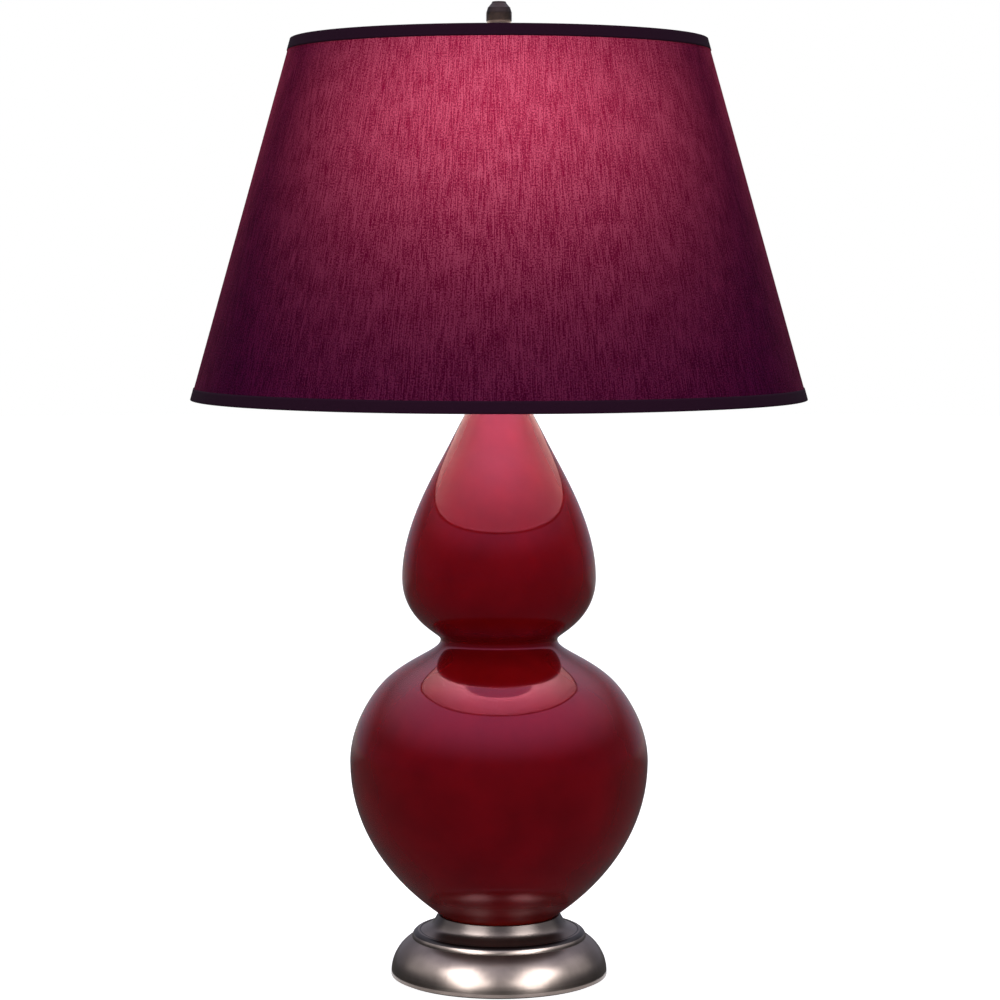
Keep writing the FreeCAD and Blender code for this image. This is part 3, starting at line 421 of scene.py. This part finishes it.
# ---------------------------------------------------------------- shade cloth
# Plum cloth of slubbed linen look, cut as one arc, laminated on the sheet and lapped at the
# back. With the bulb lit it glows crimson where its thin places let light through.
shade_top = 0.757
shade_bottom = 0.471
shade_top_radius = 0.166
shade_bottom_radius = 0.247
cloth_thickness = 0.0005
cloth_sink = 0.00005
edge_gap = 0.0002
lap_width = 0.012
lap_rise = 0.0003
lap_half_step = 0.0006
level_rings = 49


def cone_radius(height):
    """Radius of the shade's cone at a height, on the straight line between its two edges."""
    share = (shade_top - height) / (shade_top - shade_bottom)
    return shade_top_radius + (shade_bottom_radius - shade_top_radius) * share


# Each row of the cloth is a level ring. They go up the outer face, 0.05 mm inside the cone,
# from the bottom edge, and down the inner one. The lap at the back stands 0.3 mm proud and
# steps down over 1 mm.
columns = 360
heights = np.linspace(shade_bottom + edge_gap, shade_top - edge_gap, level_rings)
around = np.linspace(0.5 * np.pi, 2.5 * np.pi, columns + 1)


def ring_radius(inset, height, angle):
    """Radius of the cloth: the cone's, less the inset, plus a smooth step up onto the lap.

    The step is a hyperbolic tangent of the distance to the lap's edge, and the outer face has it.
    """
    radius = cone_radius(height) - inset
    from_lap = ((angle - np.pi / 2 + np.pi) % (2 * np.pi) - np.pi) * radius
    step = 0.5 + 0.5 * np.tanh((lap_width / 2 - np.abs(from_lap)) / lap_half_step)
    return radius + lap_rise * step * (inset == 0)


h, a = np.meshgrid(heights, around[:-1], indexing="ij")
outer = ring_radius(0.0, h, a) - cloth_sink
inner = ring_radius(cloth_thickness, h, a)[::-1]
radii = np.vstack([outer, inner])
levels = np.vstack([h, h[::-1]])
angles = np.vstack([a, a])
cloth_points = np.stack([radii * np.cos(angles), radii * np.sin(angles), levels], axis=-1)

# Length round the shade at mid height, and length up it, in metres, with the seam at the back.
slant = (shade_top - shade_bottom) / np.cos(np.arctan2(shade_bottom_radius - shade_top_radius,
                                                       shade_top - shade_bottom))
mean_radius = (shade_top_radius + shade_bottom_radius) / 2
up = np.linspace(0, slant, level_rings)
up = np.concatenate([up, np.linspace(slant, 0, level_rings), [0.0]])
u, v = np.meshgrid(around * mean_radius, up)
cloth_uv = np.stack([u, v], axis=-1)

# Slubbed weave: real threads are 0.4 mm apart, drawn here 0.8 to 1.4 mm apart so that they show.
# The warp thickens and thins over 17 mm, each thread at its own places, and the weft breaks it
# up. Light comes pinker through the gaps between threads and goes on nearly straight, while
# what the fibres scatter comes out red. The dyed face is a dark plum.
thread_shift = (700.0, 0.0, 0.0)
furthest_shift = (0.0, 9.0, 0.0)
warp_per_metre = (1250.0, 60.0, 1.0)
weft_per_metre = (1000.0, 800.0, 1.0)


def front_only(tree, shader):
    """The shader on the front of the faces, and nothing on their back."""
    behind = add(tree, "ShaderNodeNewGeometry", {})["Backfacing"]
    clear = add(tree, "ShaderNodeBsdfTransparent", {})[0]
    return add(tree, "ShaderNodeMixShader", {0: behind, 1: shader, 2: clear})[0]


linen, tree = material("linen_weave_plum_lit")
flat_place = add(tree, "ShaderNodeTexCoord", {})["UV"]
thread = add(tree, "ShaderNodeMapping", {"Vector": flat_place, "Scale": thread_shift})[0]
own_place = add(tree, "ShaderNodeTexNoise", {"Vector": thread, "Scale": 1.0})[0]
shift = add(tree, "ShaderNodeCombineXYZ", {1: own_place})[0]
down = add(tree, "ShaderNodeMapping", {"Vector": flat_place, "Scale": warp_per_metre})[0]
shifted = add(tree, "ShaderNodeVectorMath", {0: shift, 1: furthest_shift, 2: down},
              operation="MULTIPLY_ADD")[0]
warp = add(tree, "ShaderNodeTexNoise", {"Vector": shifted, "Scale": 1.0, "Detail": 2.0})[0]
cross = add(tree, "ShaderNodeMapping", {"Vector": flat_place, "Scale": weft_per_metre})[0]
weft = add(tree, "ShaderNodeTexNoise", {"Vector": cross, "Scale": 1.0, "Detail": 1.0})[0]
cloudy = add(tree, "ShaderNodeTexNoise", {"Vector": flat_place, "Scale": 45.0,
                                          "Detail": 2.0})[0]
weave = add(tree, "ShaderNodeMix", {0: 0.44, 2: warp, 3: weft})[0]
uneven = add(tree, "ShaderNodeMix", {0: 0.1, 2: weave, 3: cloudy})[0]
thin_places = add(tree, "ShaderNodeMapRange", {0: uneven, 1: 0.45, 2: 0.55})[0]
through_gaps = add(tree, "ShaderNodeMix", {0: thin_places, 6: colour("740021"),
                                           7: colour("AA4A5C")}, data_type="RGBA")[2]
through_fibres = add(tree, "ShaderNodeMix", {0: thin_places, 6: colour("5C0010"),
                                             7: colour("A8001E")}, data_type="RGBA")[2]
dyed = add(tree, "ShaderNodeMix", {0: thin_places, 6: colour("1E001B"), 7: colour("33002E")},
           data_type="RGBA")[2]
threads = add(tree, "ShaderNodeBump", {"Height": uneven, "Strength": 0.5,
                                       "Distance": 0.0003})[0]
face = add(tree, "ShaderNodeBsdfPrincipled", {"Base Color": dyed, "Roughness": 0.9,
                                              "Specular IOR Level": 0.05,
                                              "Normal": threads})[0]
spread = add(tree, "ShaderNodeBsdfTranslucent", {"Color": through_fibres})[0]
forward = add(tree, "ShaderNodeBsdfRefraction", {"Color": through_gaps, "Roughness": 1.0,
                                                 "IOR": 3.0}, distribution="GGX")[0]
glow = add(tree, "ShaderNodeMixShader", {0: 0.87, 1: spread, 2: forward})[0]
cloth_lit = add(tree, "ShaderNodeMixShader", {0: 0.25, 1: face, 2: glow})[0]
add(tree, "ShaderNodeOutputMaterial", {0: front_only(tree, cloth_lit)})
shade_cloth = surface("shade_cloth", cloth_points, linen, uv=cloth_uv)
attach(shade_cloth, "shade")
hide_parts("shade_fabric")

# ---------------------------------------------------------------- tapes on the shade's edges
# Woven tape in a darker plum, glued over each edge: a 9 mm band outside, rounded over the
# wire ring, and a short leg inside. Its ribs, 0.7 mm apart, leave it matt.
tape, tree = material("grosgrain_tape_plum")
place = add(tree, "ShaderNodeTexCoord", {})["Object"]
ribs = add(tree, "ShaderNodeTexNoise", {"Vector": place, "Scale": 1500.0, "Detail": 3.0})[0]
tone = add(tree, "ShaderNodeMix", {0: ribs, 6: colour("170611"), 7: colour("270D20")},
           data_type="RGBA")[2]
ribbed = add(tree, "ShaderNodeBump", {"Height": ribs, "Strength": 0.4, "Distance": 0.0002})[0]
woven = add(tree, "ShaderNodeBsdfPrincipled", {"Base Color": tone, "Roughness": 0.85,
                                               "Specular IOR Level": 0.1,
                                               "Normal": ribbed})[0]
add(tree, "ShaderNodeOutputMaterial", {0: woven})
tape_thickness = 0.0005
tape_band = 0.009
tape_leg = 0.0022
tape_outside = 0.0006
tape_inside = 0.0020
fold_height = 0.0005


def tape_profile(edge, inward):
    """Closed section of a tape folded over an edge. Inward is the way into the shade: 1 or -1.

    The band and the leg follow the cone at their own distance, and half an ellipse joins them.
    """
    band = np.linspace(edge + inward * tape_band, edge, 7)
    leg = np.linspace(edge, edge + inward * tape_leg, 4)
    outer = np.stack([cone_radius(band) + tape_outside, band], axis=1)
    inner = np.stack([cone_radius(leg) - tape_inside, leg], axis=1)
    middle = (outer[-1] + inner[0]) / 2
    half = (outer[-1, 0] - inner[0, 0]) / 2
    turn = np.linspace(0, np.pi, 9)[1:-1]
    fold = np.stack([middle[0] + half * np.cos(turn),
                     middle[1] - inward * fold_height * np.sin(turn)], axis=1)
    back_inner = inner[::-1] + [tape_thickness, 0]
    back_outer = outer[::-1] - [tape_thickness, 0]
    return np.vstack([outer, fold, inner, back_inner, back_outer])


for edge, inward, node in [(shade_top, -1, "shade_top_trim"),
                           (shade_bottom, 1, "shade_bottom_trim")]:
    section = tape_profile(edge, inward)
    if inward > 0:
        section = section[::-1]
    trim = surface(node + "_tape", turned(section, 360), tape)
    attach(trim, "shade")
    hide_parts(node)

# ---------------------------------------------------------------- finial
# Turned brass, plated in nickel and blackened nearly all over, with a satin hand-rubbed face. It
# screws down on the harp's stud and holds the shade.
dress(plain("nickel_antique_blackened", "4F4442", "3B3231", 0.004, 0.05, 0.36, 1.0), "finial")

# ---------------------------------------------------------------- studio
# A white floor in a white room, soft lamps that fill from the front and from above, and four
# tall soft boxes for the turned foot alone: a strong pair before it and a weak pair beside it.
fill_aim = (0, 0, 0.4)
fill_size = 1.4
fill_power = 22
top_size = 2.0
top_power = 16
foot_aim = (0, 0, 0.15)
foot_box_height = 0.9
foot_box_size = (1.1, 1.7)
foot_boxes = {
    # name: place across, place towards the back, power
    "metal_box_left": (-1.0, -1.25, 65),
    "metal_box_right": (1.12, -1.25, 65),
    "metal_box_far_left": (-1.7, 0.2, 5),
    "metal_box_far_right": (1.7, 0.2, 5),
}


def soft_box(name, place, aim, width, height, power, seen_in_gloss):
    """An area lamp that faces a point."""
    lamp = bpy.data.lights.new(name, "AREA")
    lamp.shape = "RECTANGLE"
    lamp.size = width
    lamp.size_y = height
    lamp.energy = power
    box = bpy.data.objects.new(name, lamp)
    bpy.context.scene.collection.objects.link(box)
    box.location = place
    box.rotation_euler = (Vector(aim) - Vector(place)).to_track_quat("-Z", "Z").to_euler()
    box.visible_glossy = seen_in_gloss
    return box


soft_box("fill_left", (-0.9, -2.8, 1.3), fill_aim, fill_size, fill_size, fill_power, False)
soft_box("fill_right", (0.9, -2.8, 1.3), fill_aim, fill_size, fill_size, fill_power, False)
soft_box("fill_top", (0, 0.2, 2.4), fill_aim, top_size, top_size, top_power, False)
metal_only = bpy.data.collections.new("turned_metal")
metal_only.objects.link(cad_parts["base_foot"])
for name, (across, back, power) in foot_boxes.items():
    box = soft_box(name, (across, back, foot_box_height), foot_aim, *foot_box_size, power, True)
    box.visible_diffuse = False
    box.light_linking.receiver_collection = metal_only

# White paper: the camera, mirrors and glass see it glow just short of white, and it is grey to
# the lamps, so the lamp's shadow and its own light still fall on it. It is clear from below.
paper_glow = 0.88
white_light = (1.0, 1.0, 1.0, 1.0)
paper, tree = material("paper_backdrop_white")
seen = add(tree, "ShaderNodeLightPath", {})
direct = add(tree, "ShaderNodeMath", {0: seen["Is Camera Ray"], 1: seen["Is Glossy Ray"]},
             operation="MAXIMUM")[0]
through = add(tree, "ShaderNodeMath", {0: direct, 1: seen["Is Transmission Ray"]},
              operation="MAXIMUM")[0]
share = add(tree, "ShaderNodeMath", {0: through, 1: paper_glow}, operation="MULTIPLY")[0]
matte = add(tree, "ShaderNodeBsdfDiffuse", {"Color": colour("B4B4B4")})[0]
white_paper = add(tree, "ShaderNodeEmission", {"Color": white_light, "Strength": share})[0]
lit_paper = add(tree, "ShaderNodeAddShader", {0: matte, 1: white_paper})[0]
add(tree, "ShaderNodeOutputMaterial", {0: front_only(tree, lit_paper)})
paper.cycles.emission_sampling = "NONE"
angle = np.linspace(0, 2 * np.pi, 96, endpoint=False)
floor_rows = np.array([1e-4, 0.5, 1.5, 4.0, 9.0])[::-1, None]
floor_points = np.stack([floor_rows * np.cos(angle), floor_rows * np.sin(angle),
                         0 * floor_rows * angle], axis=-1)
studio_floor = surface("studio_floor", floor_points, paper, wraps=(False, True))

# Dark card: it lies on the floor round the foot, and only mirrors see it. It is nearly black in
# front and fades behind the lamp to the room's grey, so that no edge shows in the glaze.
backdrop_start = 0.3
backdrop_grey = 0.35
card_black = 0.09
card_fade = 2.5
card_height = 0.004
card_hole = 0.0885
card_rim = 9.5
card, tree = material("card_dark_faded")
place = add(tree, "ShaderNodeTexCoord", {})["Object"]
depth = add(tree, "ShaderNodeSeparateXYZ", {0: place})[1]
way = add(tree, "ShaderNodeVectorMath", {0: place}, operation="NORMALIZE")[0]
facing = add(tree, "ShaderNodeSeparateXYZ", {0: way})[1]
behind_lamp = add(tree, "ShaderNodeMapRange", {0: facing, 1: backdrop_start, 2: 1.0,
                                               4: backdrop_grey},
                  interpolation_type="SMOOTHSTEP")[0]
far_off = add(tree, "ShaderNodeMapRange", {0: depth, 1: 0.0, 2: card_fade},
              interpolation_type="SMOOTHSTEP")[0]
lighter = add(tree, "ShaderNodeMath", {0: behind_lamp, 1: far_off}, operation="MULTIPLY")[0]
fade = add(tree, "ShaderNodeMath", {0: lighter, 1: card_black}, operation="MAXIMUM")[0]
grey = add(tree, "ShaderNodeEmission", {"Color": white_light, "Strength": fade})[0]
add(tree, "ShaderNodeOutputMaterial", {0: grey})
card.cycles.emission_sampling = "NONE"
card_reach = np.array([[card_rim], [card_hole]])
card_points = np.stack([card_reach * np.cos(angle), card_reach * np.sin(angle),
                        card_height + 0 * card_reach * angle], axis=-1)
dark_card = surface("studio_card", card_points, card, wraps=(False, True))
dark_card.visible_camera = False
dark_card.visible_diffuse = False
dark_card.visible_shadow = False
dark_card.visible_transmission = False

# The room: white to the camera and through glass. Everything else, such as the glaze, meets a
# dark front, a grey backdrop and a bright ceiling, a little cool.
ceiling_start = 0.2
ceiling_end = 0.9
ceiling_bright = 1.3
room_dark = 0.1
cool_light = (0.95, 0.93, 1.12, 1.0)
world = bpy.data.worlds.new("studio_room")
bpy.context.scene.world = world
world.use_nodes = True
tree = world.node_tree
tree.nodes.clear()
direction = add(tree, "ShaderNodeTexCoord", {})["Generated"]
parts = add(tree, "ShaderNodeSeparateXYZ", {0: direction})
backdrop = add(tree, "ShaderNodeMapRange", {0: parts[1], 1: backdrop_start, 2: 1.0,
                                            4: backdrop_grey},
               interpolation_type="SMOOTHSTEP")[0]
ceiling = add(tree, "ShaderNodeMapRange", {0: parts[2], 1: ceiling_start, 2: ceiling_end,
                                           3: room_dark, 4: ceiling_bright},
              interpolation_type="SMOOTHSTEP")[0]
room = add(tree, "ShaderNodeMath", {0: backdrop, 1: ceiling}, operation="MAXIMUM")[0]
seen = add(tree, "ShaderNodeLightPath", {})
direct = add(tree, "ShaderNodeMath", {0: seen["Is Camera Ray"], 1: seen["Is Transmission Ray"]},
             operation="MAXIMUM")[0]
strength = add(tree, "ShaderNodeMath", {0: room, 1: direct}, operation="MAXIMUM")[0]
tint = add(tree, "ShaderNodeMix", {0: direct, 6: cool_light, 7: white_light},
           data_type="RGBA")[2]
sky = add(tree, "ShaderNodeBackground", {"Color": tint, "Strength": strength})[0]
add(tree, "ShaderNodeOutputWorld", {0: sky})

# The camera stands 2.4 m in front, at three quarters of the lamp's height, and looks slightly
# down. No one place gives both the shade and the foot as the photograph has them, and this one
# is between.
camera_place = Vector((0.0, -2.4, 0.58))
camera_aim = Vector((0.0008, 0.0, 0.3887))
lens = bpy.data.cameras.new("camera")
lens.lens = 107.3
lens.sensor_width = 36.0
camera = bpy.data.objects.new("camera", lens)
bpy.context.scene.collection.objects.link(camera)
camera.location = camera_place
camera.rotation_euler = (camera_aim - camera_place).to_track_quat("-Z", "Y").to_euler()
bpy.context.scene.camera = camera
bpy.context.scene.view_settings.view_transform = "Standard"
